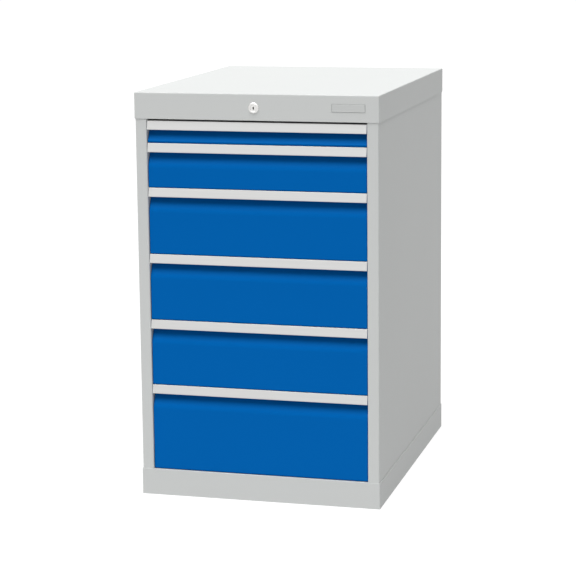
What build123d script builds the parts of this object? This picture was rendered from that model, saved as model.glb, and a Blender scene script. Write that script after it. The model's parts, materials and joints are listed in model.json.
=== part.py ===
from build123d import *
import os
from math import atan2, cos, radians, sin, tan

os.makedirs("parts", exist_ok=True)

# A floor-standing drawer cabinet. X to the right, Y from the front to the back, Z up.
# The origin is on the floor, under the middle of the whole cabinet, its lock's ring included.
# All sizes are in millimetres.

# The whole cabinet, over its hood and plinth
overall_width = 555.0
overall_depth = 736.0

# Folded sheet steel of the body
skin_sheet = 1.5          # hood and plinth, which lie over the walls
wall_sheet = 1.5          # side walls, back wall, floor and runner uprights
fold_radius = 1.0         # inside radius of every fold
skin_edge_radius = 2.0    # outer edges of the hood and the plinth
hood_height = 58.5
plinth_height = 59.5
upright_width = 26.0      # face of each front upright, beside the opening
return_depth = 30.0       # how far an upright turns back beside the fronts
return_lip = 12.0
rear_flange = 22.0
sill_depth = 20.0         # flange behind the lower edge of the hood and the top of the plinth
foot_flange = 24.0        # flange that the plinth stands on
floor_flange = 18.0
back_wall_gap = 1.5       # each side of the back wall
notch_gap = 0.3
bend_share = 0.9          # of the run beside it that a soft bend may take up

# Drawer fronts, stacked on a grid from the top drawer down
grid_height = 50.0
grid_counts = (1, 2, 3, 3, 3, 4)
stack_gap = 0.5           # under the lowest step and over the highest
handle_drop = 3.9         # from the top of a step to the top of its grip strip
front_gap = 0.8           # under and beside a blue front
front_sheet = 1.2
front_setback = 4.5       # of a front's main face behind the face of the hood
front_lip = 22.0          # turned up at the foot of a front, against the tray
recess_depth = 20.0       # of the finger recess, from the face of the hood
recess_land = 5.0         # flat band that is left below the recess of a front one step high
recess_bend = 10.0

# Grip strip, an aluminium profile along the top of each front
grip_height = 20.2
grip_wall = 1.8
grip_side_gap = 1.0
grip_foot_setback = 0.3   # of its lower edge behind the face of the hood
grip_head_setback = 4.0   # of its upper edge
grip_lip = 5.0            # turned inwards under the fingers
grip_inside_radius = 0.5

# Trays
tray_sheet = 1.0
tray_rise = 7.0           # above the foot of its step
tray_headroom = 11.5      # below the top of its step
tray_rim = 5.5            # turned out round the top
rim_gap = 2.0             # beside the flanges of the outer rails
tray_overrun = 1.2        # behind the rear end of its rails

# Telescopic runners: outer, middle and inner rails of C section, one in the other
rail_start = 34.0         # behind the face of the hood
rear_room = 102.0         # behind the rails, for the central lock
rail_rise = 1.0           # of the outer rail above the foot of the tray
outer_rail_height = 32.0
outer_rail_reach = 12.0
outer_rail_sheet = 1.5
middle_rail_height = 22.0
middle_rail_reach = 11.5
inner_rail_height = 12.6
inner_rail_gap = 1.8      # between its flanges and the web of the middle rail
moving_rail_sheet = 1.2
rail_gap = 1.0            # between the webs of the outer and the middle rail
ball_track_width = 4.0
ball_track_inset = 4.5    # from the web of the middle rail
running_gap = 0.15
stop_height = 8.0

# Slotted uprights that the outer rails hook into
slotted_width = 30.0
slotted_foot = 12.0
front_slotted_gap = 6.5   # behind the return of the front upright
rear_slotted_gap = 18.0   # before the rear end of the rails
slotted_headroom = 40.0   # below the top of the cabinet
hook_slot_width = 5.0
hook_slot_height = 14.0
hook_slot_gap = 0.5
hook_reach = 4.0

# Cylinder lock and its turning rod
lock_drop = 31.0          # from the top of the hood to the axis of the lock
lock_aside = 2.5          # of that axis to the left of the middle
plug_diameter = 14.0
barrel_wall = 2.0
barrel_length = 22.0
barrel_gap = 0.2
escutcheon_rim = 3.0      # round the barrel
escutcheon_proud = 2.5
plug_setback = 0.6
plug_tail = 4.0
turning_gap = 0.05
keyhole_width = 2.6
keyhole_height = 6.2
keyhole_depth = 9.0
nut_across = 26.0
nut_thickness = 4.0
rod_diameter = 8.0
coupler_diameter = 15.0
coupler_length = 18.0
bearing_sheet = 3.0
bearing_width = 40.0
bearing_drop = 20.0       # below the axis of the rod
bearing_flange = 22.0
bearing_collar = 3.0
bearing_lead = 13.0       # in front of the crank
bush_diameter = 14.0
bush_length = 9.0

# Crank, lock bar and what it holds
crank_throw = 10.0
crank_turn = 90.0
crank_thickness = 4.0
crank_pin_diameter = 5.0
crank_hub_diameter = 18.0
crank_bar_gap = 1.5
pin_gap = 0.45
bar_width = 24.0
bar_thickness = 4.0
bar_offset = 41.5         # from the back wall to the rear face of the bar
bar_head_width = 38.0
bar_head_height = 26.0
bar_head_radius = 4.0
bar_tail = 10.0           # below the lowest glide
lug_sheet = 3.0
lug_width = 16.0
lug_lip = 13.0
lug_reach = 14.5
catch_sheet = 2.5
catch_width = 30.0
catch_drop = 16.0         # from the top of a step to the underside of its catch
catch_foot = 22.0
catch_lip = 12.0
catch_play = 3.0          # between a catch and its lug
catch_clearance = 2.2     # over a raised lug
glide_width = 44.0
glide_height = 20.0
glide_wall = 3.2
glide_gap = 0.3
bracket_sheet = 2.0
bracket_foot = 14.0
bracket_drop = 80.0       # below the top of the step that it stands behind
bracket_steps = (2, 4, 6)

# Planes that the pieces share
front_face = -(overall_depth - escutcheon_proud) / 2
back_face = front_face + overall_depth
body_half_width = overall_width / 2 - skin_sheet
body_front = front_face + skin_sheet
body_back = back_face - skin_sheet
half_opening = body_half_width - upright_width
return_end = body_front + return_depth
opening_bottom = plinth_height
stack_bottom = opening_bottom + stack_gap
stack_top = stack_bottom + grid_height * sum(grid_counts)
opening_top = stack_top + stack_gap
overall_height = opening_top + hood_height
recess_height = grid_height - grip_height - front_gap - recess_land
wall_inside = body_half_width - wall_sheet
wall_foot = skin_sheet
wall_top = overall_height - skin_sheet
back_wall_face = body_back - 2 * wall_sheet
rail_front = front_face + rail_start
rail_back = back_face - rear_room
outer_rail_edge = half_opening - outer_rail_reach
middle_rail_web = half_opening - outer_rail_sheet - rail_gap
tray_half_width = outer_rail_edge - rim_gap - tray_rim
tray_front = front_face + recess_depth + front_sheet
tray_back = rail_back + tray_overrun
floor_top = opening_bottom - skin_sheet
lock_height = overall_height - lock_drop
lock_x = -lock_aside
barrel_diameter = plug_diameter + 2 * barrel_wall
escutcheon_diameter = barrel_diameter + 2 * escutcheon_rim
bar_back = back_wall_face - bar_offset
bar_front = bar_back - bar_thickness
crank_back = bar_front - crank_bar_gap
crank_front = crank_back - crank_thickness
swing = radians(crank_turn / 2)
bar_lift = 2 * crank_throw * sin(swing)


def block(x_range, y_range, z_range):
    size = [high - low for low, high in (x_range, y_range, z_range)]
    middle = [(high + low) / 2 for low, high in (x_range, y_range, z_range)]
    return Pos(*middle) * Box(*size)


def round_bar(diameter, y_range, x=lock_x, z=lock_height):
    length = y_range[1] - y_range[0]
    return Pos(x, sum(y_range) / 2, z) * Rot(90, 0, 0) * Cylinder(diameter / 2, length)


def folded_sheet(points, sheet, metal_left=False, inside_radii=None):
    # The section of a folded sheet. The points run along one face; the metal lies to the right
    # of that line, or to its left. Each fold has its own inside radius.
    side = 1 if metal_left else -1
    corners = [Vector(*point) for point in points]
    runs = [(end - start).normalized() for start, end in zip(corners, corners[1:])]
    normals = [Vector(-run.Y, run.X) * side for run in runs]
    if inside_radii is None:
        inside_radii = [fold_radius] * (len(corners) - 2)
    other_face = [corners[0] + normals[0] * sheet]
    radii = []
    other_radii = []
    for corner, before, after, inside in zip(corners[1:], normals, normals[1:], inside_radii):
        other_face.append(corner + (before + after) * (sheet / (1 + before.dot(after))))
        turns_to_metal = before.cross(after).Z * side > 0
        radii.append(inside + sheet if turns_to_metal else inside)
        other_radii.append(inside if turns_to_metal else inside + sheet)
    other_face.append(corners[-1] + normals[-1] * sheet)
    face_line = FilletPolyline(*corners, radius=radii)
    other_line = FilletPolyline(*other_face, radius=other_radii)
    ends = [Line(corners[0], other_face[0]), Line(corners[-1], other_face[-1])]
    return make_face([*face_line.edges(), *other_line.edges(), *ends])


def upright_length(section, z_range):
    return Pos(0, 0, z_range[0]) * extrude(section, z_range[1] - z_range[0])


def across(section, half_width):
    # A section drawn as (y, z), run across the cabinet
    return extrude(Plane.YZ * section, half_width, both=True)


def lengthwise(section, y_range):
    # A section drawn as (x, z), run from front to back
    length = y_range[1] - y_range[0]
    return Pos(0, y_range[1], 0) * extrude(Plane.XZ * section, length)


def both_sides(right):
    return Compound([*right.solids(), *mirror(right, about=Plane.YZ).solids()])


def steps():
    # Number, foot and top of each step of the stack, from the top drawer down
    top = stack_top
    for number, count in enumerate(grid_counts, 1):
        bottom = top - grid_height * count
        yield number, bottom, top
        top = bottom


def skin_ring(z_range):
    outer = block((-overall_width / 2, overall_width / 2), (front_face, back_face), z_range)
    return fillet(outer.edges().filter_by(Axis.Z), skin_edge_radius)


def top_hood():
    hood = skin_ring((opening_top, overall_height))
    hood = fillet(hood.faces().sort_by(Axis.Z)[-1].edges(), skin_edge_radius)
    inside = (opening_top, overall_height - skin_sheet)
    hood -= block((-body_half_width, body_half_width), (body_front, body_back), inside)
    sill = (opening_top, opening_top + skin_sheet)
    hood += block((-half_opening, half_opening), (body_front, body_front + sill_depth), sill)
    hole = barrel_diameter + 2 * barrel_gap
    return hood - round_bar(hole, (front_face - skin_sheet, body_front + skin_sheet))


def base_plinth():
    plinth = skin_ring((0, plinth_height))
    plinth -= block((-body_half_width, body_half_width), (body_front, body_back), (0, plinth_height))
    foot = block((-body_half_width, body_half_width), (body_front, body_back), (0, skin_sheet))
    half_gap = body_half_width - foot_flange
    gap_range = (body_front + foot_flange, body_back - foot_flange)
    foot -= block((-half_gap, half_gap), gap_range, (0, skin_sheet))
    sill_range = (body_front, body_front + sill_depth)
    sill = block((-half_opening, half_opening), sill_range, (floor_top, plinth_height))
    return plinth + foot + sill


def side_wall():
    # One sheet: rear flange, wall, face of the upright, its return beside the fronts and its lip
    section = folded_sheet(
        [
            (body_half_width - rear_flange, body_back),
            (body_half_width, body_back),
            (body_half_width, body_front),
            (half_opening, body_front),
            (half_opening, return_end),
            (half_opening + return_lip, return_end),
        ],
        wall_sheet,
    )
    return upright_length(section, (wall_foot, wall_top))


def back_wall():
    half_width = wall_inside - back_wall_gap
    y_range = (back_wall_face, back_wall_face + wall_sheet)
    return block((-half_width, half_width), y_range, (wall_foot, wall_top))


def floor_panel():
    # A pan turned down all round, with a tongue between the two front uprights
    half_tongue = half_opening - notch_gap
    notch_end = return_end + notch_gap
    z_range = (floor_top - floor_flange, floor_top)
    pan = block((-wall_inside, wall_inside), (notch_end, back_wall_face), z_range)
    pan += block((-half_tongue, half_tongue), (body_front, notch_end), z_range)
    under_plate = (floor_top - floor_flange, floor_top - wall_sheet)
    half_hollow = wall_inside - wall_sheet
    hollow_start = notch_end + wall_sheet
    hollow = block((-half_hollow, half_hollow), (hollow_start, back_wall_face - wall_sheet), under_plate)
    half_hollow = half_tongue - wall_sheet
    hollow += block((-half_hollow, half_hollow), (body_front + wall_sheet, hollow_start), under_plate)
    return pan - hollow


def slotted_centres():
    # Where the two slotted uprights of a side stand, front and rear
    front = return_end + front_slotted_gap + slotted_foot + slotted_width / 2
    rear = rail_back - rear_slotted_gap - slotted_width / 2
    return front, rear


def rail_centre(step_bottom):
    return step_bottom + tray_rise + rail_rise + outer_rail_height / 2


def slotted_upright(centre):
    half = slotted_width / 2
    foot_face = wall_inside - wall_sheet
    section = folded_sheet(
        [
            (foot_face, centre - half - slotted_foot),
            (foot_face, centre - half),
            (half_opening, centre - half),
            (half_opening, centre + half),
            (foot_face, centre + half),
            (foot_face, centre + half + slotted_foot),
        ],
        wall_sheet,
    )
    upright = upright_length(section, (floor_top, overall_height - slotted_headroom))
    web = (half_opening, half_opening + wall_sheet)
    slots = []
    for place in range(sum(grid_counts)):
        z = rail_centre(stack_bottom + grid_height * place)
        across_slot = (centre - hook_slot_width / 2, centre + hook_slot_width / 2)
        slots.append(block(web, across_slot, (z - hook_slot_height / 2, z + hook_slot_height / 2)))
    return upright - slots


def runner_uprights():
    uprights = [slotted_upright(centre) for centre in slotted_centres()]
    return both_sides(Compound([part.solid() for part in uprights]))


def outer_rails(step_bottom):
    z = rail_centre(step_bottom)
    high = z + outer_rail_height / 2
    low = z - outer_rail_height / 2
    edge = outer_rail_edge
    corners = [(edge, high), (half_opening, high), (half_opening, low), (edge, low)]
    rail = lengthwise(folded_sheet(corners, outer_rail_sheet), (rail_front, rail_back))
    stop = middle_rail_web - moving_rail_sheet
    end = (rail_back, rail_back + outer_rail_sheet)
    rail += block((stop, half_opening), end, (z - stop_height, z + stop_height))
    for centre in slotted_centres():
        hook_half = hook_slot_width / 2 - hook_slot_gap
        hook_high = z + hook_slot_height / 2 - hook_slot_gap
        hook_low = z - hook_slot_height / 2 + hook_slot_gap
        hook_end = half_opening + wall_sheet + hook_reach
        across_hook = (centre - hook_half, centre + hook_half)
        rail += block((half_opening, hook_end), across_hook, (hook_low, hook_high))
    return both_sides(rail)


def middle_rails(step_bottom):
    z = rail_centre(step_bottom)
    web = middle_rail_web
    reach = web - middle_rail_reach
    half = middle_rail_height / 2
    corners = [(reach, z + half), (web, z + half), (web, z - half), (reach, z - half)]
    rail = lengthwise(folded_sheet(corners, moving_rail_sheet), (rail_front, rail_back))
    # The rows of balls, drawn as round-nosed tracks above and below each flange
    track_far = web - ball_track_inset
    track_near = track_far - ball_track_width
    outer_face = outer_rail_height / 2 - outer_rail_sheet - running_gap
    inner_face = inner_rail_height / 2 + running_gap
    flange = half - moving_rail_sheet / 2
    nose = ball_track_width / 2 - running_gap
    for sign in (1, -1):
        for face in (outer_face, inner_face):
            low, high = sorted((z + sign * face, z + sign * flange))
            track = block((track_near, track_far), (rail_front, rail_back), (low, high))
            edges = track.faces().sort_by(Axis.Z)[-1 if (face > flange) == (sign > 0) else 0].edges()
            rail += fillet(edges.filter_by(Axis.Y), min(nose, bend_share * (high - low)))
    return both_sides(rail)


def inner_rails(step_bottom):
    z = rail_centre(step_bottom)
    half = inner_rail_height / 2
    reach = middle_rail_web - moving_rail_sheet - inner_rail_gap
    section = folded_sheet(
        [(reach, z + half), (tray_half_width, z + half), (tray_half_width, z - half), (reach, z - half)],
        moving_rail_sheet,
        metal_left=True,
    )
    return both_sides(lengthwise(section, (rail_front, min(rail_back, tray_back))))


def tray(step_bottom, step_top):
    # Two side sheets with their rims turned out, the bottom between them, and a sheet at each end
    low = step_bottom + tray_rise
    high = step_top - tray_headroom
    under_rim = high - tray_sheet
    side_section = folded_sheet(
        [(tray_half_width, low), (tray_half_width, under_rim), (tray_half_width + tray_rim, under_rim)],
        tray_sheet,
        metal_left=True,
    )
    sides = both_sides(lengthwise(side_section, (tray_front, tray_back)))
    half_inside = tray_half_width - tray_sheet
    floor_face = low + tray_sheet
    bottom_sheet = block((-half_inside, half_inside), (tray_front, tray_back), (low, floor_face))
    front_range = (tray_front, tray_front + tray_sheet)
    front_wall = block((-half_inside, half_inside), front_range, (floor_face, high))
    rear_face = tray_back - tray_sheet
    rear_section = folded_sheet(
        [(rear_face, floor_face), (rear_face, high), (tray_back + tray_rim, high)],
        tray_sheet,
    )
    rear = across(rear_section, half_inside)
    return Compound([*sides.solids(), bottom_sheet, front_wall, rear.solid()])


def front_levels(step_bottom, step_top):
    # Foot of the blue front, foot of its grip strip and top of its grip strip
    head = step_top - handle_drop
    if step_bottom > stack_bottom + stack_gap:
        foot = step_bottom - handle_drop + front_gap
    else:
        foot = opening_bottom + front_gap
    return foot, head - grip_height, head


def drawer_front(step_bottom, step_top):
    foot, grip_foot, head = front_levels(step_bottom, step_top)
    face = front_face + front_setback
    recess = front_face + recess_depth
    back = recess + front_sheet
    bend_start = grip_foot - recess_height
    slope = atan2(recess - face, recess_height)
    corner = fold_radius + front_sheet
    soft_bend = min(recess_bend, bend_share * (bend_start - foot - corner) / tan(slope / 2) - front_sheet)
    outline = [
        (back, foot + front_lip),
        (back, foot),
        (face, foot),
        (face, bend_start),
        (recess, grip_foot),
        (recess, head - grip_wall - grip_inside_radius),
    ]
    inside_radii = [fold_radius, fold_radius, soft_bend, recess_bend]
    section = folded_sheet(outline, front_sheet, inside_radii=inside_radii)
    half_width = half_opening - front_gap
    panel = across(section, half_width)
    # Side flanges, folded back from the face as far as the tray
    flange_line = [Line((back, foot), (back, grip_foot)), Line((back, grip_foot), (recess, grip_foot))]
    edge_line = FilletPolyline((recess, grip_foot), (face, bend_start), (face, foot), (back, foot),
                               radius=[soft_bend + front_sheet, corner])
    cheek = make_face([*flange_line, *edge_line.edges()])
    ends = extrude(Plane.YZ * cheek, front_sheet)
    right = Pos(half_width - front_sheet, 0, 0) * ends
    return panel + right + mirror(right, about=Plane.YZ)


def grip_strip(step_bottom, step_top):
    grip_foot, head = front_levels(step_bottom, step_top)[1:]
    foot_y = front_face + grip_foot_setback
    head_y = front_face + grip_head_setback
    leg = tray_front + grip_wall
    leg_foot = step_top - tray_headroom
    outline = [
        (foot_y + grip_lip, grip_foot),
        (foot_y, grip_foot),
        (head_y, head),
        (leg, head),
        (leg, leg_foot),
    ]
    section = folded_sheet(outline, grip_wall, inside_radii=[grip_inside_radius] * (len(outline) - 2))
    return across(section, half_opening - grip_side_gap)


def catch(step_top):
    # A strap welded to the back of the tray, with a lip that the lock bar's lug holds
    under = step_top - catch_drop
    lip_face = bar_front - lug_reach + lug_sheet + catch_play + catch_sheet
    section = folded_sheet(
        [
            (tray_back, under - catch_foot),
            (tray_back, under + catch_sheet),
            (lip_face, under + catch_sheet),
            (lip_face, under - catch_lip),
        ],
        catch_sheet,
    )
    return across(section, catch_width / 2)


def pin_place():
    # The crank pin at rest, half a turn range below the rod's level
    return lock_x - crank_throw * cos(swing), lock_height - crank_throw * sin(swing)


def bracket_levels():
    return [step_top - bracket_drop for number, _, step_top in steps() if number in bracket_steps]


def lock_bar():
    # A flat bar whose head has a level slot for the crank pin, and an angle lug below each catch
    pin_x, pin_z = pin_place()
    y_range = (bar_front, bar_back)
    foot = min(bracket_levels()) - glide_height / 2 - bar_tail
    bar = block((-bar_width / 2, bar_width / 2), y_range, (foot, pin_z))
    head_half = bar_head_height / 2
    head_left = bar_width / 2 - bar_head_width
    head = block((head_left, bar_width / 2), y_range, (pin_z - head_half, pin_z + head_half))
    bar += fillet(head.edges().filter_by(Axis.Y), bar_head_radius)
    slot_half = crank_pin_diameter / 2 + pin_gap
    slot_far = lock_x - crank_throw - slot_half
    slot_near = pin_x + slot_half
    bar -= block((slot_far, slot_near), y_range, (pin_z - slot_half, pin_z + slot_half))
    return Compound([bar.solid(), *[lock_lug(step_top) for _, _, step_top in steps()]])


def lock_lug(step_top):
    lip_top = step_top - catch_drop - catch_clearance - bar_lift
    arm_foot = lip_top - lug_lip - lug_sheet
    lug_face = bar_front - lug_reach
    section = folded_sheet([(bar_front, arm_foot), (lug_face, arm_foot), (lug_face, lip_top)], lug_sheet)
    return across(section, lug_width / 2).solid()


def lock_bar_brackets():
    # Hat-shaped stand-offs on the back wall
    half = glide_width / 2
    face = bar_back + glide_gap + bracket_sheet + glide_wall
    hat = folded_sheet(
        [
            (-half - bracket_foot, back_wall_face),
            (-half, back_wall_face),
            (-half, face),
            (half, face),
            (half, back_wall_face),
            (half + bracket_foot, back_wall_face),
        ],
        bracket_sheet,
    )
    levels = [(z - glide_height / 2, z + glide_height / 2) for z in bracket_levels()]
    return Compound([upright_length(hat, z_range).solid() for z_range in levels])


def lock_bar_glides():
    # Plastic guides on the brackets, with the bar running through them
    half = glide_width / 2
    slot_half = bar_width / 2 + glide_gap
    face = bar_back + glide_gap + glide_wall
    glides = []
    for z in bracket_levels():
        z_range = (z - glide_height / 2, z + glide_height / 2)
        body = block((-half, half), (bar_front - glide_gap - glide_wall, face), z_range)
        body = fillet(body.edges().filter_by(Axis.Z), fold_radius)
        slot = block((-slot_half, slot_half), (bar_front - glide_gap, bar_back + glide_gap), z_range)
        glides.append((body - slot).solid())
    return Compound(glides)


def lock_housing():
    ring = round_bar(escutcheon_diameter, (front_face - escutcheon_proud, front_face))
    rim = ring.faces().sort_by(Axis.Y)[0].edges()
    ring = fillet(rim, escutcheon_proud / 2)
    housing = ring + round_bar(barrel_diameter, (front_face, front_face + barrel_length))
    bore = plug_diameter + 2 * turning_gap
    return housing - round_bar(bore, (front_face - escutcheon_proud, front_face + barrel_length))


def lock_nut():
    bore = Circle(barrel_diameter / 2 + barrel_gap)
    section = RegularPolygon(nut_across / 2, 6, major_radius=False) - bore
    nut = extrude(Plane.XZ * section, nut_thickness)
    return Pos(lock_x, body_front + nut_thickness, lock_height) * nut


def plug_back():
    return front_face + barrel_length + plug_tail


def lock_plug():
    plug_face = front_face - escutcheon_proud + plug_setback
    plug = round_bar(plug_diameter, (plug_face, plug_back()))
    half_width = keyhole_width / 2
    half_height = keyhole_height / 2
    slot = block(
        (lock_x - half_width, lock_x + half_width),
        (plug_face, plug_face + keyhole_depth),
        (lock_height - half_height, lock_height + half_height),
    )
    slot = fillet(slot.edges().filter_by(Axis.Y), half_width - turning_gap)
    return plug - slot


def rod_coupler():
    # Clamped on the front end of the rod, and seated on the back of the plug
    y_range = (plug_back(), plug_back() + coupler_length)
    return round_bar(coupler_diameter, y_range) - round_bar(rod_diameter, y_range)


def lock_rod():
    return round_bar(rod_diameter, (plug_back(), crank_back))


def lock_crank():
    pin_x, pin_z = pin_place()
    pin_eye = crank_pin_diameter + 2 * crank_thickness
    hub = round_bar(crank_hub_diameter, (crank_front, crank_back))
    eye = round_bar(pin_eye, (crank_front, crank_back), pin_x, pin_z)
    pin_end = bar_back + crank_bar_gap
    pin = round_bar(crank_pin_diameter, (crank_front, pin_end), pin_x, pin_z)
    return hub + eye + pin - round_bar(rod_diameter, (crank_front, crank_back))


def bearing_centre():
    return crank_front - bearing_lead


def rod_bearing():
    # An angle under the hood, with the bush's hole in its upright leg
    half = bearing_width / 2
    leg_front = bearing_centre() - bearing_sheet / 2
    leg_back = leg_front + bearing_sheet
    foot = lock_height - bearing_drop
    section = folded_sheet(
        [(leg_back, foot), (leg_back, wall_top), (leg_back - bearing_flange, wall_top)],
        bearing_sheet,
        metal_left=True,
    )
    angle = Pos(lock_x, 0, 0) * across(section, half)
    return angle - round_bar(bush_diameter + 2 * turning_gap, (leg_front, leg_back))


def rod_bush():
    centre = bearing_centre()
    y_range = (centre - bush_length / 2, centre + bush_length / 2)
    bush = round_bar(bush_diameter, y_range)
    collar = round_bar(bush_diameter + 2 * bearing_collar, (y_range[0], centre - bearing_sheet / 2))
    return bush + collar - round_bar(rod_diameter + 2 * turning_gap, y_range)


def cabinet_pieces():
    right = side_wall()
    return {
        "top_hood": top_hood(),
        "base_plinth": base_plinth(),
        "side_wall_right": right,
        "side_wall_left": mirror(right, about=Plane.YZ),
        "back_wall": back_wall(),
        "floor_panel": floor_panel(),
        "runner_uprights": runner_uprights(),
        "lock_housing": lock_housing(),
        "lock_nut": lock_nut(),
        "rod_bearing": rod_bearing(),
        "rod_bush": rod_bush(),
        "lock_bar_brackets": lock_bar_brackets(),
        "lock_bar_glides": lock_bar_glides(),
        "lock_plug": lock_plug(),
        "rod_coupler": rod_coupler(),
        "lock_rod": lock_rod(),
        "lock_crank": lock_crank(),
        "lock_bar": lock_bar(),
    }


def drawer_pieces(number, bottom, top):
    name = f"drawer_{number}_"
    return {
        name + "tray": tray(bottom, top),
        name + "front": drawer_front(bottom, top),
        name + "grip": grip_strip(bottom, top),
        name + "catch": catch(top),
        name + "inner_rails": inner_rails(bottom),
        name + "middle_rails": middle_rails(bottom),
        name + "outer_rails": outer_rails(bottom),
    }


pieces = cabinet_pieces()
for number, bottom, top in steps():
    pieces.update(drawer_pieces(number, bottom, top))
for name, piece in pieces.items():
    export_step(piece, f"parts/{name}.step")
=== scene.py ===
import json
import math

import bpy
import numpy as np
from mathutils import Matrix, Vector


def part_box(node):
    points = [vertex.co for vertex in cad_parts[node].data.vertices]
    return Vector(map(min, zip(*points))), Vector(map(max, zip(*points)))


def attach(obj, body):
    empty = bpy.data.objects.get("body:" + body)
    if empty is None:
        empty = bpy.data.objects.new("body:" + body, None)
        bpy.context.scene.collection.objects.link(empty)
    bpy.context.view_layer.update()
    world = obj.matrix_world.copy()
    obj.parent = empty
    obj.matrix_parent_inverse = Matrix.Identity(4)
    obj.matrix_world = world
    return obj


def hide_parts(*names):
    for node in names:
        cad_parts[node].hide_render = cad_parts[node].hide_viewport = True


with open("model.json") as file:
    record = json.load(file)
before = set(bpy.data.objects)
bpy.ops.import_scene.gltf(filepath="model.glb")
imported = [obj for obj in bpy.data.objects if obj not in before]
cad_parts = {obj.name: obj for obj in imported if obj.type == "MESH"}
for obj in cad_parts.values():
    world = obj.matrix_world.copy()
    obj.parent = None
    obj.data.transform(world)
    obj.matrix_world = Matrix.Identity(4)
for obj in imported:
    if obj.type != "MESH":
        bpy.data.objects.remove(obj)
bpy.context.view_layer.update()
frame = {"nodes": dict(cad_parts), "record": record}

mm = 0.001               # lengths are in metres, so a size in millimetres is multiplied by this
drawerCount = sum(1 for name in frame["nodes"] if name.endswith("_tray"))

# How finely curves are divided, and how far from an edge one more point lies, so that flats stay
# flat when shaded smooth
meshing = {
    "foldSteps": 7, "cornerSteps": 6, "edgeSteps": 5, "trayBendSteps": 6,
    "ringSteps": 64, "keyholeSteps": 96,
    "foldSupport": 0.25 * mm, "endSupport": 0.3 * mm, "leastRadius": 0.02 * mm,
    "sharpAngle": 32,    # degrees; flatter edges are shaded smooth
}


# Outlines

def foldLine(corners, radii, closed=False, arcSteps=meshing["foldSteps"],
             support=meshing["foldSupport"]):
    # A corner becomes a tangent arc: centre + radius * (cos, sin) of an angle that runs between
    # the two tangents, with one more point just off each end of it
    corners = np.asarray(corners, float)
    count = len(corners)
    radii = np.broadcast_to(np.asarray(radii, float), count)
    runs = []
    for i in range(count):
        lineEnd = not closed and i in (0, count - 1)
        if lineEnd or radii[i] <= 0:
            runs.append(corners[i:i + 1])
            continue
        here = corners[i]
        back = corners[i - 1] - here
        ahead = corners[(i + 1) % count] - here
        back /= np.linalg.norm(back)
        ahead /= np.linalg.norm(ahead)
        half = math.acos(np.clip(back @ ahead, -1, 1)) / 2
        cut = radii[i] / math.tan(half)
        middle = (back + ahead) / np.linalg.norm(back + ahead)
        centre = here + middle * radii[i] / math.sin(half)
        start = here + back * cut - centre
        end = here + ahead * cut - centre
        first = math.atan2(start[1], start[0])
        turn = math.atan2(start[0] * end[1] - start[1] * end[0], start @ end)
        angle = first + np.linspace(0, 1, arcSteps + 1) * turn
        arc = centre + radii[i] * np.stack([np.cos(angle), np.sin(angle)], 1)
        runs.append(np.vstack([[arc[0] + back * support], arc, [arc[-1] + ahead * support]]))
    return np.vstack(runs)


def sheetOutline(corners, sheet, inside, outside=None):
    # A folded sheet in section, as one closed line: the given face, and its parallel one sheet to
    # the right. At a fold the parallel's corner is off by sheet * (n1 + n2) / (1 + n1 . n2), with
    # n1 and n2 the normals before and after it. Each fold has its own inside radius; the outside
    # one is a sheet larger, or as given for an extrusion
    corners = np.asarray(corners, float)
    runs = np.diff(corners, axis=0)
    runs /= np.linalg.norm(runs, axis=1)[:, None]
    normals = np.stack([runs[:, 1], -runs[:, 0]], 1)
    before, after = normals[:-1], normals[1:]
    miter = (before + after) * (sheet / (1 + np.sum(before * after, 1)))[:, None]
    parallel = np.vstack([corners[:1] + normals[:1] * sheet, corners[1:-1] + miter,
                          corners[-1:] + normals[-1:] * sheet])
    inside = np.broadcast_to(np.asarray(inside, float), len(corners) - 2)
    outside = inside + sheet if outside is None else np.broadcast_to(outside, len(corners) - 2)
    towards = before[:, 0] * after[:, 1] - before[:, 1] * after[:, 0] < 0
    faceLine = foldLine(corners, [0, *np.where(towards, outside, inside), 0])
    otherLine = foldLine(parallel, [0, *np.where(towards, inside, outside), 0])
    return np.vstack([faceLine, otherLine[::-1]])


def roundedRing(halfX, halfY, radius, support=meshing["foldSupport"]):
    # A rectangle about the middle, each corner a quarter circle. One whose radius has run out
    # keeps a very small one, so that all rings have the same count
    radius = max(radius, meshing["leastRadius"])
    corners = [(halfX, -halfY), (halfX, halfY), (-halfX, halfY), (-halfX, -halfY)]
    return foldLine(corners, radius, True, meshing["cornerSteps"], support)


# Meshes: a part is (points, faces), and a piece is one or more parts

def gridPart(points, closeRows=False, closeColumns=False):
    # points[i, j] is the surface at row i and column j; each cell is one quad
    rows, columns = points.shape[:2]
    index = np.arange(rows * columns).reshape(rows, columns)
    if closeRows:
        index = np.vstack([index, index[:1]])
    if closeColumns:
        index = np.hstack([index, index[:, :1]])
    quads = np.stack([index[:-1, :-1], index[1:, :-1], index[1:, 1:], index[:-1, 1:]], -1)
    return points.reshape(-1, 3), quads.reshape(-1, 4).tolist()


def outward(points, faces):
    # A closed part with its faces turned outwards, by the sign of the volume that they hold: the
    # sum of the tetrahedra from the middle of the points to each triangle of each face
    volume = 0.0
    centre = points.mean(0)
    for size in {len(face) for face in faces}:
        some = np.array([face for face in faces if len(face) == size])
        corner = points[some] - centre
        for k in range(1, size - 1):
            across = np.cross(corner[:, k], corner[:, k + 1])
            volume += np.einsum("ij,ij->", corner[:, 0], across)
    if volume < 0:
        faces = [face[::-1] for face in faces]
    return points, faces


def placed(line, level, plane):
    # A flat line put at a level: plane names its two axes, and the level is along the third
    line = np.asarray(line, float)
    out = np.zeros((len(line), 3))
    axes = ["xyz".index(letter) for letter in plane]
    out[:, axes[0]] = line[:, 0]
    out[:, axes[1]] = line[:, 1]
    out[:, 3 - sum(axes)] = level
    return out


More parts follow.
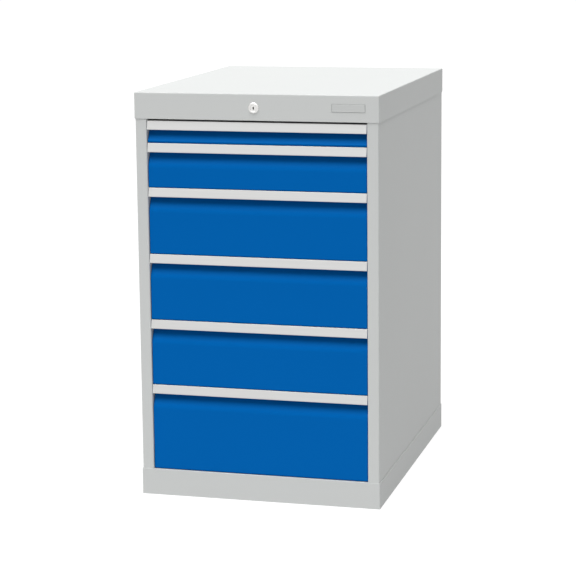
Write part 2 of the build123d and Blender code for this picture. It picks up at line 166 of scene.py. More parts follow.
def closedRun(rings, sheetEnds=False):
    # Rings of equal count joined one after the other. Each end is closed by one flat face, or
    # where the rings are a sheet's section, by strips between its two faces
    points, faces = gridPart(np.stack(rings), closeColumns=True)
    count = len(rings[0])
    for start in (0, (len(rings) - 1) * count):
        if sheetEnds:
            one = np.arange(count // 2 - 1)
            strips = np.stack([one, one + 1, count - 2 - one, count - 1 - one], 1) + start
            faces += strips.tolist()
        else:
            faces.append(list(range(start, start + count)))
    return outward(points, faces)


def runOf(outline, plane, low, high, sheetEnds=True):
    # A closed outline run along the third axis, from low to high
    support = meshing["endSupport"]
    levels = [low, low + support, high - support, high]
    return closedRun([placed(outline, level, plane) for level in levels], sheetEnds)


def slab(x, y, z):
    # A flat block between two values on each axis
    corners = [(x[0], z[0]), (x[1], z[0]), (x[1], z[1]), (x[0], z[1])]
    return runOf(corners, "xz", y[0], y[1], sheetEnds=False)


def turned(profile, centre, steps):
    # Rings of a (radius, y) profile about the line along Y through the centre: at each angle,
    # x is radius * cos and z is radius * sin from that line
    angle = np.linspace(0, 2 * math.pi, steps, endpoint=False)
    radius, depth = np.asarray(profile, float).T[:, :, None]
    x = centre[0] + radius * np.cos(angle)
    z = centre[1] + radius * np.sin(angle)
    return np.stack([x, np.broadcast_to(depth, x.shape), z], -1)


# Finishes

def newMaterial(name):
    material = bpy.data.materials.new(name)
    material.use_nodes = True
    tree = material.node_tree
    return material, tree, tree.nodes["Principled BSDF"]


def addNode(tree, kind, links=None, **values):
    # links: input name to an output socket or to a value; values: settings of the node itself
    node = tree.nodes.new(kind)
    for key, value in values.items():
        setattr(node, key, value)
    for key, value in (links or {}).items():
        if isinstance(value, bpy.types.NodeSocket):
            tree.links.new(value, node.inputs[key])
        else:
            node.inputs[key].default_value = value
    return node


def newGroup(name, inputs, outputs):
    group = bpy.data.node_groups.new(name, "ShaderNodeTree")
    for socket, kind, default in inputs:
        made = group.interface.new_socket(socket, in_out="INPUT", socket_type=kind)
        made.default_value = default
    for socket, kind in outputs:
        group.interface.new_socket(socket, in_out="OUTPUT", socket_type=kind)
    return group, group.nodes.new("NodeGroupInput"), group.nodes.new("NodeGroupOutput")


coat = {"peelDetail": 2.0, "driftScale": 4.5, "driftDetail": 3.0, "roughnessRange": 0.06,
        "bumpStrength": 0.6}


def powderCoatGroup():
    # Sprayed and baked paint: a fine orange peel in the height, colour * (1 + drift * noise) over
    # a panel, and roughness + range * (peel - a half)
    group, given, out = newGroup(
        "powderCoat",
        [("Colour", "NodeSocketColor", (0.5, 0.5, 0.5, 1)),
         ("Peel size", "NodeSocketFloat", 1.6 * mm),
         ("Tone drift", "NodeSocketFloat", 0.02),
         ("Roughness", "NodeSocketFloat", 0.45)],
        [("Colour", "NodeSocketColor"), ("Roughness", "NodeSocketFloat"),
         ("Height", "NodeSocketFloat")],
    )
    place = addNode(group, "ShaderNodeTexCoord").outputs["Object"]
    scale = addNode(group, "ShaderNodeMath", {0: 1.0, 1: given.outputs["Peel size"]},
                    operation="DIVIDE")
    peel = addNode(group, "ShaderNodeTexNoise",
                   {"Vector": place, "Scale": scale.outputs[0], "Detail": coat["peelDetail"]})
    drift = addNode(group, "ShaderNodeTexNoise",
                    {"Vector": place, "Scale": coat["driftScale"], "Detail": coat["driftDetail"]})
    centred = addNode(group, "ShaderNodeMath", {0: drift.outputs["Fac"], 1: 0.5},
                      operation="SUBTRACT")
    scaled = addNode(group, "ShaderNodeMath",
                     {0: centred.outputs[0], 1: given.outputs["Tone drift"]}, operation="MULTIPLY")
    tone = addNode(group, "ShaderNodeMath", {0: scaled.outputs[0], 1: 1.0}, operation="ADD")
    paint = addNode(group, "ShaderNodeVectorMath",
                    {0: given.outputs["Colour"], "Scale": tone.outputs[0]}, operation="SCALE")
    grain = addNode(group, "ShaderNodeMath",
                    {0: peel.outputs["Fac"], 1: coat["roughnessRange"],
                     2: -coat["roughnessRange"] / 2}, operation="MULTIPLY_ADD")
    rough = addNode(group, "ShaderNodeMath",
                    {0: grain.outputs[0], 1: given.outputs["Roughness"]}, operation="ADD")
    group.links.new(paint.outputs[0], out.inputs["Colour"])
    group.links.new(rough.outputs[0], out.inputs["Roughness"])
    group.links.new(peel.outputs["Fac"], out.inputs["Height"])
    return group


grain = {"detail": 3.0, "darkest": 0.95, "lightest": 1.05, "bumpStrength": 0.5}


def drawnGrainGroup():
    # Fine lines along one axis, as extrusion, rolling or brushing leaves them: noise at the place
    # times the stretch, and roughness + spread * (lines - a half)
    group, given, out = newGroup(
        "drawnGrain",
        [("Stretch", "NodeSocketVector", (6.0, 900.0, 900.0)),
         ("Roughness", "NodeSocketFloat", 0.35), ("Spread", "NodeSocketFloat", 0.12)],
        [("Lines", "NodeSocketFloat"), ("Roughness", "NodeSocketFloat")],
    )
    place = addNode(group, "ShaderNodeTexCoord").outputs["Object"]
    stretched = addNode(group, "ShaderNodeVectorMath", {0: place, 1: given.outputs["Stretch"]},
                        operation="MULTIPLY")
    lines = addNode(group, "ShaderNodeTexNoise",
                    {"Vector": stretched.outputs[0], "Scale": 1.0, "Detail": grain["detail"]})
    centred = addNode(group, "ShaderNodeMath", {0: lines.outputs["Fac"], 1: 0.5},
                      operation="SUBTRACT")
    spread = addNode(group, "ShaderNodeMath",
                     {0: centred.outputs[0], 1: given.outputs["Spread"]}, operation="MULTIPLY")
    rough = addNode(group, "ShaderNodeMath",
                    {0: spread.outputs[0], 1: given.outputs["Roughness"]}, operation="ADD")
    group.links.new(lines.outputs["Fac"], out.inputs["Lines"])
    group.links.new(rough.outputs[0], out.inputs["Roughness"])
    return group


powderCoat = powderCoatGroup()
drawnGrain = drawnGrainGroup()


def linear(levels):
    # Screen levels of 0 to 255 as linear colour: v / 12.92 near black, else
    # ((v + 0.055) / 1.055) to the power 2.4
    value = np.array(levels) / 255
    value = np.where(value <= 0.04045, value / 12.92, ((value + 0.055) / 1.055) ** 2.4)
    return (*value.tolist(), 1.0)


def paintMaterial(name, colour, roughness, specular, peelSize=1.4 * mm, peelDepth=0.02 * mm,
                  toneDrift=0.02):
    material, tree, shader = newMaterial(name)
    paint = addNode(tree, "ShaderNodeGroup", node_tree=powderCoat)
    paint.inputs["Colour"].default_value = linear(colour)
    paint.inputs["Peel size"].default_value = peelSize
    paint.inputs["Tone drift"].default_value = toneDrift
    paint.inputs["Roughness"].default_value = roughness
    bump = addNode(tree, "ShaderNodeBump",
                   {"Height": paint.outputs["Height"], "Distance": peelDepth,
                    "Strength": coat["bumpStrength"]})
    tree.links.new(paint.outputs["Colour"], shader.inputs["Base Color"])
    tree.links.new(paint.outputs["Roughness"], shader.inputs["Roughness"])
    tree.links.new(bump.outputs["Normal"], shader.inputs["Normal"])
    shader.inputs["Specular IOR Level"].default_value = specular
    return material


def metalMaterial(name, colour, roughness, spread, stretch, lineDepth, metallic=1.0):
    material, tree, shader = newMaterial(name)
    drawn = addNode(tree, "ShaderNodeGroup", node_tree=drawnGrain)
    drawn.inputs["Stretch"].default_value = stretch
    drawn.inputs["Roughness"].default_value = roughness
    drawn.inputs["Spread"].default_value = spread
    bump = addNode(tree, "ShaderNodeBump",
                   {"Height": drawn.outputs["Lines"], "Distance": lineDepth,
                    "Strength": grain["bumpStrength"]})
    tone = addNode(tree, "ShaderNodeMapRange",
                   {"Value": drawn.outputs["Lines"], "To Min": grain["darkest"],
                    "To Max": grain["lightest"]})
    tinted = addNode(tree, "ShaderNodeVectorMath",
                     {0: linear(colour)[:3], "Scale": tone.outputs[0]}, operation="SCALE")
    tree.links.new(tinted.outputs[0], shader.inputs["Base Color"])
    tree.links.new(drawn.outputs["Roughness"], shader.inputs["Roughness"])
    tree.links.new(bump.outputs["Normal"], shader.inputs["Normal"])
    shader.inputs["Metallic"].default_value = metallic
    return material


paints = {
    "bodyGrey": {"colour": (199, 201, 200), "roughness": 0.5, "specular": 0.08},
    "frontBlue": {"colour": (0, 95, 172), "roughness": 0.5, "specular": 0.02, "toneDrift": 0.03},
    "trayGrey": {"colour": (190, 193, 192), "roughness": 0.5, "specular": 0.1},
    "glidePlastic": {"colour": (38, 38, 40), "roughness": 0.55, "specular": 0.4,
                     "peelSize": 0.7 * mm, "peelDepth": 0.01 * mm},
    # near-black paint for the faces deep inside the keyhole: painted shade for the unlit inside of
    # the keyway
    "keyholePaintedShade": {"colour": (18, 18, 18), "roughness": 0.7, "specular": 0.2,
                    "peelSize": 0.7 * mm, "peelDepth": 0.01 * mm},
    "plateRim": {"colour": (164, 166, 165), "roughness": 0.5, "specular": 0.2,
                 "peelSize": 0.9 * mm, "peelDepth": 0.01 * mm},
}
metals = {               # stretch is how many lines there are to a metre of each axis
    "gripAluminium": {"colour": (199, 199, 198), "roughness": 0.42, "spread": 0.1,
                      "stretch": (5, 1100, 1100), "lineDepth": 0.004 * mm},
    "runnerZinc": {"colour": (186, 190, 194), "roughness": 0.32, "spread": 0.16,
                   "stretch": (700, 9, 700), "lineDepth": 0.003 * mm},
    "lockNickel": {"colour": (217, 216, 214), "roughness": 0.42, "spread": 0.08,
                   "stretch": (1500, 1500, 1500), "lineDepth": 0.001 * mm},
    "lockSteel": {"colour": (176, 179, 182), "roughness": 0.38, "spread": 0.14,
                  "stretch": (500, 30, 500), "lineDepth": 0.003 * mm},
    "plateSilver": {"colour": (184, 186, 185), "roughness": 0.45, "spread": 0.08,
                    "stretch": (5, 1100, 1100), "lineDepth": 0.002 * mm, "metallic": 0.55},
}
finishes = {name: paintMaterial(name, **look) for name, look in paints.items()}
finishes.update({name: metalMaterial(name, **look) for name, look in metals.items()})
finishOfSlot = {
    "body_grey": "bodyGrey", "front_blue": "frontBlue", "grip_aluminium": "gripAluminium",
    "tray_grey": "trayGrey", "runner_zinc": "runnerZinc", "lock_nickel": "lockNickel",
    "lock_steel": "lockSteel", "glide_plastic": "glidePlastic",
}
print("finishes made")


# Camera: where the photograph was taken from, found by fitting the cabinet's straight edges
camera = {
    "place": (1.1886, -4.5069, 1.3212), "yaw": 0.2634, "pitch": 0.1718, "roll": 0.0102,
    "focalPixels": 1983.0, "axisDown": 250.0, "frameSize": 576.0, "sensor": 36.0,
    "farthest": 60.0,
}


def makeCamera():
    # Ahead is (-sin yaw * cos pitch, cos yaw * cos pitch, -sin pitch), right is level, and down
    # is ahead x right. The roll then turns right and down about ahead
    yaw, pitch, roll = camera["yaw"], camera["pitch"], camera["roll"]
    ahead = np.array([-math.sin(yaw) * math.cos(pitch), math.cos(yaw) * math.cos(pitch),
                      -math.sin(pitch)])
    right = np.array([math.cos(yaw), math.sin(yaw), 0.0])
    down = np.cross(ahead, right)
    rolledRight = math.cos(roll) * right + math.sin(roll) * down
    rolledDown = -math.sin(roll) * right + math.cos(roll) * down
    data = bpy.data.cameras.new("photoCamera")
    data.sensor_width = camera["sensor"]
    data.sensor_fit = "HORIZONTAL"
    data.lens = camera["focalPixels"] / camera["frameSize"] * camera["sensor"]
    data.shift_y = (camera["axisDown"] - camera["frameSize"] / 2) / camera["frameSize"]
    data.clip_end = camera["farthest"]
    made = bpy.data.objects.new("photoCamera", data)
    columns = np.stack([rolledRight, -rolledDown, -ahead, camera["place"]], 1)
    made.matrix_world = Matrix([*columns.tolist(), (0, 0, 0, 1)])
    bpy.context.scene.collection.objects.link(made)
    bpy.context.scene.camera = made


# Studio: a white room of soft light, a wide lamp high in front, and a pale floor that keeps the
# shadow. The floor and the room each have one strength that lights, and another that is seen
studio = {
    "roomLights": 0.15, "roomSeen": 1.03,
    "lampStrength": 4.40, "lampSpread": math.radians(60), "lampDistance": 4.0,
    "lampFrom": (-0.1002, -0.2905, 0.9516),
    "floorSize": 40.0, "floorColour": (0.15, 0.15, 0.15, 1), "floorRoughness": 0.9,
    "floorSpecular": 0.1, "floorLights": 0.71, "floorSeen": 0.88,
}


def strengthOf(tree, lights, seen):
    # The second value for what the camera sees, straight on, through glass or in a reflection,
    # and the first for light on anything else
    path = addNode(tree, "ShaderNodeLightPath")
    direct = addNode(tree, "ShaderNodeMath",
                     {0: path.outputs["Is Camera Ray"], 1: path.outputs["Is Glossy Ray"]},
                     operation="MAXIMUM")
    shown = addNode(tree, "ShaderNodeMath",
                    {0: direct.outputs[0], 1: path.outputs["Is Transmission Ray"]},
                    operation="MAXIMUM")
    return addNode(tree, "ShaderNodeMapRange",
                   {"Value": shown.outputs[0], "To Min": lights, "To Max": seen}).outputs[0]


def makeStudio():
    world = bpy.data.worlds.new("studioWorld")
    world.use_nodes = True
    tree = world.node_tree
    tree.nodes.clear()
    light = addNode(tree, "ShaderNodeBackground",
                    {"Color": (1, 1, 1, 1),
                     "Strength": strengthOf(tree, studio["roomLights"], studio["roomSeen"])})
    addNode(tree, "ShaderNodeOutputWorld", {"Surface": light.outputs[0]})
    bpy.context.scene.world = world

    lamp = bpy.data.lights.new("keyLamp", "SUN")
    lamp.energy = studio["lampStrength"]
    lamp.angle = studio["lampSpread"]
    key = bpy.data.objects.new("keyLamp", lamp)
    key.location = Vector(studio["lampFrom"]) * studio["lampDistance"]
    key.rotation_euler = Vector(studio["lampFrom"]).to_track_quat("Z", "Y").to_euler()
    bpy.context.scene.collection.objects.link(key)

    material, tree, shader = newMaterial("paleFloor")
    shader.inputs["Base Color"].default_value = studio["floorColour"]
    shader.inputs["Roughness"].default_value = studio["floorRoughness"]
    shader.inputs["Specular IOR Level"].default_value = studio["floorSpecular"]
    shader.inputs["Emission Color"].default_value = (1, 1, 1, 1)
    tree.links.new(strengthOf(tree, studio["floorLights"], studio["floorSeen"]),
                   shader.inputs["Emission Strength"])
    half = studio["floorSize"] / 2
    corners = [(-half, -half, 0), (half, -half, 0), (half, half, 0), (-half, half, 0)]
    mesh = bpy.data.meshes.new("floor")
    mesh.from_pydata(corners, [], [(0, 1, 2, 3)])
    mesh.materials.append(material)
    floor = bpy.data.objects.new("floor", mesh)
    bpy.context.scene.collection.objects.link(floor)
    bpy.context.scene.view_settings.view_transform = "Standard"


makeCamera()
makeStudio()
print("camera and studio ready")


def makePiece(name, parts, body, slot, replaced=(), finish=None):
    # Parts joined into one object at the origin, which rides a body and may stand for CAD pieces
    points = np.vstack([part[0] for part in parts])
    starts = np.cumsum([0] + [len(part[0]) for part in parts]).tolist()
    faces = [[corner + start for corner in face]
             for part, start in zip(parts, starts) for face in part[1]]
    mesh = bpy.data.meshes.new(name)
    mesh.from_pydata(points.tolist(), [], faces)
    mesh.shade_smooth()
    mesh.set_sharp_from_angle(angle=math.radians(meshing["sharpAngle"]))
    mesh.materials.append(finishes[finish or finishOfSlot[slot]])
    mesh.update()
    piece = bpy.data.objects.new(name, mesh)
    bpy.context.scene.collection.objects.link(piece)
    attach(piece, body)
    if replaced:
        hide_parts(*replaced)
    return piece


def faceCentres(piece):
    centres = np.empty((len(piece.data.polygons), 3), np.float32)
    piece.data.polygons.foreach_get("center", centres.ravel())
    return centres


def refinish(piece, finish, chosen):
    # A second finish on the chosen faces
    piece.data.materials.append(finishes[finish])
    piece.data.polygons.foreach_set("material_index", chosen.astype(np.int32))


# Body: every piece takes its place and reach from the box of the CAD piece that it stands for
hoodLow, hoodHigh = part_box("top_hood")
plinthLow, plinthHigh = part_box("base_plinth")
cabinet = {"sheet": 1.5 * mm, "corner": 2.0 * mm, "cutEdge": 0.25 * mm, "sill": 20 * mm,
           "openingHalf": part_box("side_wall_right")[0].x}
hood = {"topEdge": 2.0 * mm, "insideEdge": 0.6 * mm, "fillInset": 14 * mm}
plinth = {"footFlange": 24 * mm}
wall = {"fold": 1.0 * mm, "rearFlange": 22 * mm, "returnDepth": 30 * mm, "lip": 12 * mm}


def roundTheCabinet(low, high, section):
    # A section of (offset outwards from the box's sides, z) points: each is one rectangle with
    # round corners, larger by the offset on all sides
    halfX = (high.x - low.x) / 2
    halfY = (high.y - low.y) / 2
    middle = np.array([(high.x + low.x) / 2, (high.y + low.y) / 2])
    rings = []
    for offset, z in section:
        ring = roundedRing(halfX + offset, halfY + offset, cabinet["corner"] + offset) + middle
        rings.append(placed(ring, z, "xy"))
    return rings


def sillPart(skin, level):
    # The flange turned back from the front skin into the opening, one sheet thick from the level up
    sheet, half = cabinet["sheet"], cabinet["openingHalf"]
    start = skin + sheet
    return slab((-half, half), (start, start + cabinet["sill"]), (level, level + sheet))


def makeHood():
    # The section runs out under the top, down inside the skirt, up its outside and in over the top
    sheet, inset = cabinet["sheet"], -hood["fillInset"]
    bottom, top = hoodLow.z, hoodHigh.z
    corners = [(inset, top - sheet), (-sheet, top - sheet), (-sheet, bottom), (0, bottom),
               (0, top), (inset, top)]
    radii = [0, hood["insideEdge"], cabinet["cutEdge"], cabinet["cutEdge"], hood["topEdge"], 0]
    cap = closedRun(roundTheCabinet(hoodLow, hoodHigh, foldLine(corners, radii)))
    makePiece("hoodShell", [cap, sillPart(hoodLow.y, bottom)], "cabinet", "body_grey",
              ["top_hood"])


def makePlinth():
    # The section is an L: the skirt, and the foot flange turned in under the cabinet
    sheet, cut = cabinet["sheet"], cabinet["cutEdge"]
    bottom, top = plinthLow.z, plinthHigh.z
    foot = plinth["footFlange"] + sheet
    corners = [(-sheet, top), (0, top), (0, bottom), (-foot, bottom), (-foot, bottom + sheet),
               (-sheet, bottom + sheet)]
    section = foldLine(corners, [cut, cut, 2 * cut, cut, cut, cut], closed=True)
    rings = roundTheCabinet(plinthLow, plinthHigh, section)
    ring = outward(*gridPart(np.stack(rings), closeRows=True, closeColumns=True))
    makePiece("plinthShell", [ring, sillPart(plinthLow.y, top - sheet)], "cabinet", "body_grey",
              ["base_plinth"])


def makeWalls():
    # One folded sheet a side, seen from above: rear flange, wall, face of the upright, its
    # return beside the fronts, and its lip. The left one is the right one times -1
    for side, sign in (("right", 1), ("left", -1)):
        low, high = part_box(f"side_wall_{side}")
        outer = max(abs(low.x), abs(high.x))
        inner = min(abs(low.x), abs(high.x))
        lipFace = low.y + wall["returnDepth"]
        corners = [(outer - wall["rearFlange"], high.y), (outer, high.y), (outer, low.y),
                   (inner, low.y), (inner, lipFace), (inner + wall["lip"], lipFace)]
        outline = sheetOutline(corners, cabinet["sheet"], wall["fold"]) * (sign, 1)
        makePiece(f"wall{side.capitalize()}", [runOf(outline, "xy", low.z, high.z)], "cabinet",
                  "body_grey", [f"side_wall_{side}"])


makeHood()
makePlinth()
makeWalls()
print("body made")


# Drawers
front = {
    "sheet": 1.2 * mm, "fold": 1.0 * mm, "foot": 1.6 * mm, "edge": 2.4 * mm, "lip": 22 * mm,
    "recessHeight": 29 * mm, "recessBend": 26 * mm, "backBend": 10 * mm,
    "leastLand": 1.4 * mm,   # flat face left between the foot's bend and the recess
    "bendShare": 0.9,        # of the face's height that the recess's bend may take up
}
grip = {"wall": 1.8 * mm, "fold": 0.5 * mm, "edges": (1.4 * mm, 0.5 * mm, 0.5 * mm),
        "lip": 5 * mm, "headBack": 3.7 * mm}


def drawnBack(section, face, back, distance):
    # A (y, z) section squeezed towards its back plane, so that its face moves by the distance:
    # back - y shrinks in the ratio 1 - distance / (back - face)
    squeezed = np.array(section, float)
    squeezed[:, 0] = back - (back - squeezed[:, 0]) * (1 - distance / (back - face))
    return squeezed


def makeFront(number):
    # From the side: a lip at the back, the foot, the face, the recess that slopes back to the
    # grip strip, and the land behind the strip. The bend into the slope is as soft as the face's
    # height leaves: a radius of height / tan(slope / 2)
    low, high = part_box(f"drawer_{number}_front")
    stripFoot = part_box(f"drawer_{number}_grip")[0].z
    sheet, back = front["sheet"], high.y
    recess = back - sheet
    footBend = front["foot"] + sheet
    recessHeight = min(front["recessHeight"], stripFoot - low.z - footBend - front["leastLand"])
    bendStart = stripFoot - recessHeight
    slope = math.atan2(recess - low.y, recessHeight)
    faceHeight = bendStart - low.z - footBend
    room = front["bendShare"] * faceHeight / math.tan(slope / 2) - sheet
    softBend = min(front["recessBend"], room)
    corners = [(back, low.z + front["lip"]), (back, low.z), (low.y, low.z), (low.y, bendStart),
               (recess, stripFoot), (recess, high.z)]
    bends = [front["fold"], front["foot"], softBend, front["backBend"]]
    outline = sheetOutline(corners, sheet, bends)

    # Round upright edges: at an angle, edge * (1 - cos) in from the end, and drawn back by
    # edge * (1 - sin)
    edge = front["edge"]
    turn = np.linspace(0, math.pi / 2, meshing["edgeSteps"] + 1)
    inset = np.append(edge * (1 - np.cos(turn)), edge + meshing["endSupport"])
    behind = np.append(edge * (1 - np.sin(turn)), 0)
    levels = np.concatenate([low.x + inset, (high.x - inset)[::-1]])
    distances = np.concatenate([behind, behind[::-1]])
    rings = [placed(drawnBack(outline, low.y, back, distance), level, "yz")
             for level, distance in zip(levels, distances)]
    panel = closedRun(rings, sheetEnds=True)

    # A cheek closes the panel at each end
    cheek = [(back, stripFoot), (recess, stripFoot), (low.y, bendStart), (low.y, low.z),
             (back, low.z)]
    cheek = foldLine(cheek, [0, 0, softBend + sheet, footBend, 0], closed=True)
    cheek = drawnBack(cheek, low.y, back, edge)
    cheeks = [runOf(cheek, "yz", start, end, sheetEnds=False)
              for start, end in ((low.x, low.x + sheet), (high.x - sheet, high.x))]
    makePiece(f"frontPanel{number}", [panel, *cheeks], f"drawer_{number}", "front_blue",
              [f"drawer_{number}_front"])


def makeGrip(number):
    # From the side: a lip under the fingers, the head leaning back, its top, and the drop behind
    # the front to the tray's rim
    low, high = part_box(f"drawer_{number}_grip")
    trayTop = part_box(f"drawer_{number}_tray")[1].z
    corners = [(low.y + grip["lip"], low.z), (low.y, low.z), (low.y + grip["headBack"], high.z),
               (high.y, high.z), (high.y, trayTop)]
    outline = sheetOutline(corners, grip["wall"], grip["fold"], outside=grip["edges"])
    makePiece(f"gripStrip{number}", [runOf(outline, "yz", low.x, high.x)], f"drawer_{number}",
              "grip_aluminium", [f"drawer_{number}_grip"])


tray = {
    "sheet": 1.0 * mm, "fold": 1.0 * mm, "rim": 5.5 * mm,
    "pitch": 17 * mm, "slotWidth": 2.6 * mm, "slotHeight": 9 * mm,
    "firstRow": 17 * mm, "rowPitch": 25 * mm, "leastOverRow": 5 * mm,
}


def slotLines(start, end):
    # The two sides of each divider slot, on a pitch centred between two walls
    count = int((end - start - tray["pitch"]) // tray["pitch"]) + 1
    middles = (start + end) / 2 + (np.arange(count) - (count - 1) / 2) * tray["pitch"]
    half = tray["slotWidth"] / 2
    return np.sort(np.concatenate([[start, end], middles - half, middles + half])), middles


def slotRows(low, high):
    # Middles of the rows up a wall: the first row, and one more a pitch while it fits below the rim
    room = high - low - tray["firstRow"] - tray["slotHeight"] / 2 - tray["leastOverRow"]
    count = max(1, int(room // tray["rowPitch"]) + 1)
    return low + tray["firstRow"] + np.arange(count) * tray["rowPitch"]


def rowLevels(low, high, rows):
    # The lower and upper edge of each row, between the two ends of a wall
    half = tray["slotHeight"] / 2
    return np.sort(np.concatenate([[low, high], rows - half, rows + half]))


def keptCells(lines, middles, levels, rows):
    # Cells that stay: all but those between a slot's two sides and within a row's height
    across = (lines[:-1] + lines[1:]) / 2
    up = (levels[:-1] + levels[1:]) / 2
    inSlot = np.any(np.abs(across[:, None] - middles[None]) < tray["slotWidth"] / 2, 1)
    inRow = np.any(np.abs(up[:, None] - rows[None]) < tray["slotHeight"] / 2, 1)
    return ~(inRow[:, None] & inSlot[None])


def perforatedSheet(inner, outer, keep):
    # Two parallel grids of points with a quad for each kept cell, joined by a strip along every
    # edge where a kept cell meets a missing one
    rows, columns = inner.shape[:2]
    index = np.arange(rows * columns).reshape(rows, columns)
    toOuter = rows * columns
    a, b, c, d = index[:-1, :-1], index[1:, :-1], index[1:, 1:], index[:-1, 1:]
    cells = np.stack([a, b, c, d], -1)[keep]
    faces = [cells, cells[:, ::-1] + toOuter]
    padded = np.pad(keep, 1)
    sides = ((padded[:-2, 1:-1], d, a), (padded[2:, 1:-1], b, c),
             (padded[1:-1, :-2], a, b), (padded[1:-1, 2:], c, d))
    for neighbour, start, end in sides:
        edge = keep & ~neighbour
        first, last = start[edge], end[edge]
        faces.append(np.stack([last, first, first + toOuter, last + toOuter], -1))
    points = np.vstack([inner.reshape(-1, 3), outer.reshape(-1, 3)])
    return outward(points, np.vstack(faces).tolist())


def alongY(section, lines):
    # Each point of an (x, z) section, repeated at every line along Y
    x, z = section[:, 0][:, None], section[:, 1][:, None]
    return np.stack(np.broadcast_arrays(x, lines[None], z), -1)


def makeTray(number):
    low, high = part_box(f"drawer_{number}_tray")
    sheet, foldIn = tray["sheet"], tray["fold"]
    foldOut = foldIn + sheet
    half = high.x - tray["rim"]
    frontFace, backFace = low.y, high.y - tray["rim"]
    rows = slotRows(low.z + sheet, high.z)
    levels = rowLevels(low.z + sheet + foldIn, high.z - 2 * sheet, rows)[1:-1]
    bend = np.linspace(0, 1, meshing["trayBendSteps"] + 1) * math.pi / 2
    footCentre = np.array([half - foldOut, low.z + foldOut])
    rimCentre = np.array([half + foldIn, high.z - sheet - foldIn])

    def sectionFace(depth, footRadius, rimRadius):
        # One face of the section, a depth into the sheet: the bottom, a quarter circle to the
        # wall, the wall, and a quarter circle out to the rim; then the same mirrored
        footArc = footCentre + footRadius * np.stack([np.sin(bend), -np.cos(bend)], 1)
        rimArc = rimCentre + rimRadius * np.stack([-np.cos(bend), np.sin(bend)], 1)
        upright = np.stack([np.full(len(levels), half - depth), levels], 1)
        right = np.vstack([[(0, low.z + depth)], footArc, upright, rimArc,
                           [(high.x, high.z - sheet + depth)]])
        return np.vstack([(right * (-1, 1))[::-1], right[1:]])

    outer = sectionFace(0, foldOut, foldIn)
    inner = sectionFace(sheet, foldIn, foldOut)
    lines, middles = slotLines(frontFace, backFace)
    keep = keptCells(lines, middles, outer[:, 1], rows)
    parts = [perforatedSheet(alongY(inner, lines), alongY(outer, lines), keep)]

    # End walls between the sides, and the rim over the rear one
    lines, middles = slotLines(-half + sheet, half - sheet)
    levels = rowLevels(low.z + sheet, high.z, rows)
    keep = keptCells(lines, middles, levels, rows)
    for face, depth in ((frontFace, sheet), (backFace, -sheet)):
        outside = np.stack(np.broadcast_arrays(lines[None], face, levels[:, None]), -1)
        parts.append(perforatedSheet(outside + (0, depth, 0), outside, keep))
    parts.append(slab((-half + sheet, half - sheet), (backFace, high.y),
                      (high.z - sheet, high.z)))
    makePiece(f"tray{number}", parts, f"drawer_{number}", "tray_grey", [f"drawer_{number}_tray"])


for number in range(1, drawerCount + 1):
    makeFront(number)
    makeGrip(number)
    makeTray(number)
print("drawers made")


# Lock: a domed ring on a barrel, and a plug with its keyhole
ringLow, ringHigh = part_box("lock_housing")
plugLow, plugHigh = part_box("lock_plug")
lockCentre = ((plugLow.x + plugHigh.x) / 2, (plugLow.z + plugHigh.z) / 2)
lockRing = {
    "radius": (ringHigh.x - ringLow.x) / 2, "barrel": 9 * mm, "bore": 7.05 * mm,
    "crestIn": 1.2 * mm,     # from the bore out to the crest
    "boreBack": 0.5 * mm,    # from the crest back to the bore's edge
    "domeIn": 1.6 * mm,      # from the rim in to where the dome falls off
    "domeBack": 0.25 * mm,   # from the crest back to there
    "rimBack": 1.6 * mm,     # from the crest back to the rim
    "rounds": np.array([0.3, 0.5, 1.2, 0.9, 0.1, 0.1, 0.3, 0.2]) * mm,   # one for each corner
}
lockPlug = {
    "radius": (plugHigh.x - plugLow.x) / 2,
    "keyWidth": 2.8 * mm, "keyHeight": 6.2 * mm,
    "keyDepth": hoodLow.y - plugLow.y - 0.1 * mm,    # its floor is just in front of the hood
    "mouth": ((0, 0.5 * mm), (0.1 * mm, 0.12 * mm), (0.35 * mm, 0)),     # (wider by, depth)
    "groove": ((2.2 * mm, 0), (1.9 * mm, 0.12 * mm), (1.6 * mm, 0)),     # (in from the rim, depth)
    "rim": ((0.5 * mm, 0), (0.1 * mm, 0.15 * mm), (0, 0.5 * mm)),
    # where the painted shade inside the keyhole begins, how far in from the plug's rim it stays,
    # and where it stops before the back
    "paintedShadeFrom": 0.3 * mm, "paintedShadeInset": 2.5 * mm, "paintedShadeBack": 1 * mm,
}


def makeLockRing():
    # The profile goes from the bore over the crest and the dome to the rim, back to the hood, in
    # to the barrel, and along that and the bore to where it began. It is turned about the centre
    crest, face, back = ringLow.y, hoodLow.y, ringHigh.y
    radius, bore, barrel = lockRing["radius"], lockRing["bore"], lockRing["barrel"]
    corners = [(bore, crest + lockRing["boreBack"]), (bore + lockRing["crestIn"], crest),
               (radius - lockRing["domeIn"], crest + lockRing["domeBack"]),
               (radius, crest + lockRing["rimBack"]), (radius, face), (barrel, face),
               (barrel, back), (bore, back)]
    profile = foldLine(corners, lockRing["rounds"], closed=True)
    rings = turned(profile, lockCentre, meshing["ringSteps"])
    ring = outward(*gridPart(rings, closeRows=True, closeColumns=True))
    makePiece("lockRing", [ring], "cabinet", "lock_nickel", ["lock_housing"])


def keyholeRing(grow, y, angle):
    # The edge of a round-ended slot as a distance from its centre along each angle: up to the
    # straight side it is width / cos, and from there the far crossing with the end's circle
    width = lockPlug["keyWidth"] / 2 + grow
    straight = (lockPlug["keyHeight"] - lockPlug["keyWidth"]) / 2
    c, s = np.abs(np.cos(angle)), np.abs(np.sin(angle))
    side = width / np.maximum(c, 1e-6)
    cap = straight * s + np.sqrt(np.maximum(width ** 2 - (straight * c) ** 2, 0))
    reach = np.where(side * s <= straight, side, cap)
    x = lockCentre[0] + reach * np.cos(angle)
    z = lockCentre[1] + reach * np.sin(angle)
    return np.stack([x, np.full(len(angle), y), z], 1)


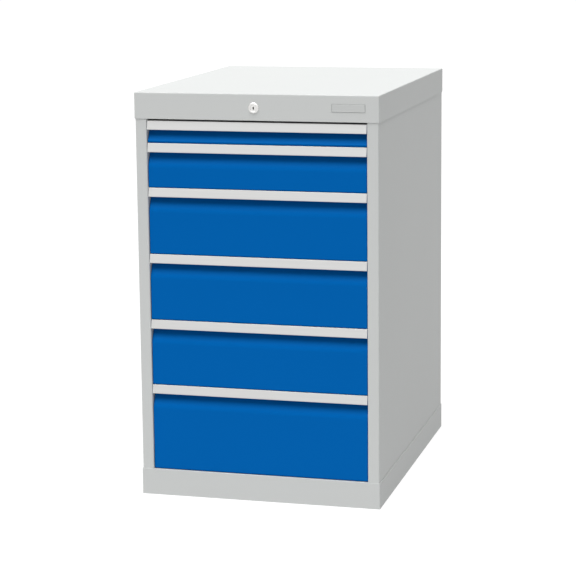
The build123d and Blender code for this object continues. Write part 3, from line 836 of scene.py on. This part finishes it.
def makeLockPlug():
    # Rings from the keyhole's floor out of its flared mouth, over a face with a fine groove and a
    # rounded rim, and back to the rear end
    steps = meshing["keyholeSteps"]
    angle = np.linspace(0, 2 * math.pi, steps, endpoint=False)
    face, back, radius = plugLow.y, plugHigh.y, lockPlug["radius"]
    hole = [keyholeRing(grow, face + depth, angle)
            for grow, depth in ((0, lockPlug["keyDepth"]), *lockPlug["mouth"])]
    profile = [(radius - inset, face + depth)
               for inset, depth in lockPlug["groove"] + lockPlug["rim"]]
    disc = turned([*profile, (radius, back)], lockCentre, steps)
    piece = makePiece("lockPlug", [closedRun([*hole, *disc])], "lock", "lock_nickel",
                      ["lock_plug"])
    # Faces deep in the keyhole get the near-black finish: painted shade in place of the dark that
    # the slot's depth would hold
    x, y, z = faceCentres(piece).T
    away = np.hypot(x - lockCentre[0], z - lockCentre[1])
    deep = (y > face + lockPlug["paintedShadeFrom"]) & (y < back - lockPlug["paintedShadeBack"])
    refinish(piece, "keyholePaintedShade", deep & (away < radius - lockPlug["paintedShadeInset"]))


makeLockRing()
makeLockPlug()


# A bare plate on the hood
plate = {
    "x": (172.2 * mm, 247.1 * mm), "z": (882.2 * mm, 900.2 * mm), "proud": 0.8 * mm,
    "corner": 1.6 * mm, "cornerLoss": 0.9 * mm, "support": 0.1 * mm, "frame": 1.3 * mm,
    "edge": ((0, 0.3 * mm), (0.1 * mm, 0.08 * mm), (0.3 * mm, 0)),       # (inset, depth)
    "groove": ((0, 0), (0.15 * mm, 0.12 * mm), (0.5 * mm, 0.12 * mm), (0.65 * mm, 0)),
}


def makePlate():
    # Rectangles with round corners, one inside the other: up the edge to a flat frame, and over a
    # groove to the field
    middle = np.array([sum(plate["x"]) / 2, sum(plate["z"]) / 2])
    half = np.array([plate["x"][1] - plate["x"][0], plate["z"][1] - plate["z"][0]]) / 2
    face = hoodLow.y - plate["proud"]
    steps = [(0, plate["proud"]), *plate["edge"]]
    steps += [(plate["frame"] + inset, depth) for inset, depth in plate["groove"]]
    rings = []
    for inset, depth in steps:
        radius = plate["corner"] - min(inset, plate["cornerLoss"])
        ring = roundedRing(half[0] - inset, half[1] - inset, radius, plate["support"])
        rings.append(placed(ring + middle, face + depth, "xz"))
    piece = makePiece("hoodPlate", [closedRun(rings)], "cabinet", "body_grey",
                      finish="plateSilver")
    inset = np.min(half - np.abs(faceCentres(piece)[:, [0, 2]] - middle), 1)
    refinish(piece, "plateRim", inset < plate["frame"])


makePlate()
print("lock and plate made")


# The rest of the construction keeps its own solids, in its own finishes
slotOf = {entry["node"]: entry["material_slot"] for entry in frame["record"]["subparts"]}
for name, node in frame["nodes"].items():
    node.data.materials.clear()
    node.data.materials.append(finishes[finishOfSlot[slotOf[name]]])
